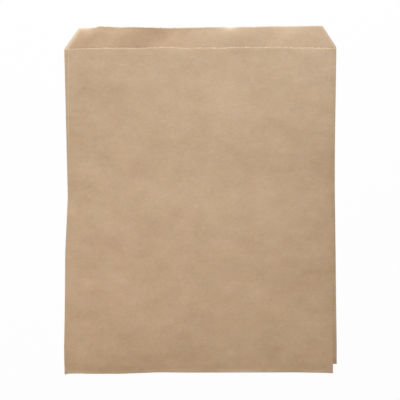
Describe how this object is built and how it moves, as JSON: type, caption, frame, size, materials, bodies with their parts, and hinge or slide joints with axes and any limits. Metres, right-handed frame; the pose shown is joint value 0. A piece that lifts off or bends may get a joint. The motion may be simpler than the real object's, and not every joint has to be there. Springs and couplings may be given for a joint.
{
  "type": "flat paper bag",
  "caption": "Flat kraft paper bag lying on its back, with pleated sides, a saw-cut mouth, a back lip with clipped corners above it and a foot folded under and glued.",
  "frame": {"origin": "bottom centre of the bag's box as it lies on its back", "axes": "+X across the bag to the right as the front is seen, +Y up the bag towards the mouth and lip, +Z out of the front"},
  "size_m": [0.3062, 0.39, 0.0038],
  "materials": {
    "kraft_paper": "matt natural brown kraft paper"
  },
  "bodies": {
    "root": {"paper_bag": "kraft_paper"}
  },
  "joints": []
}
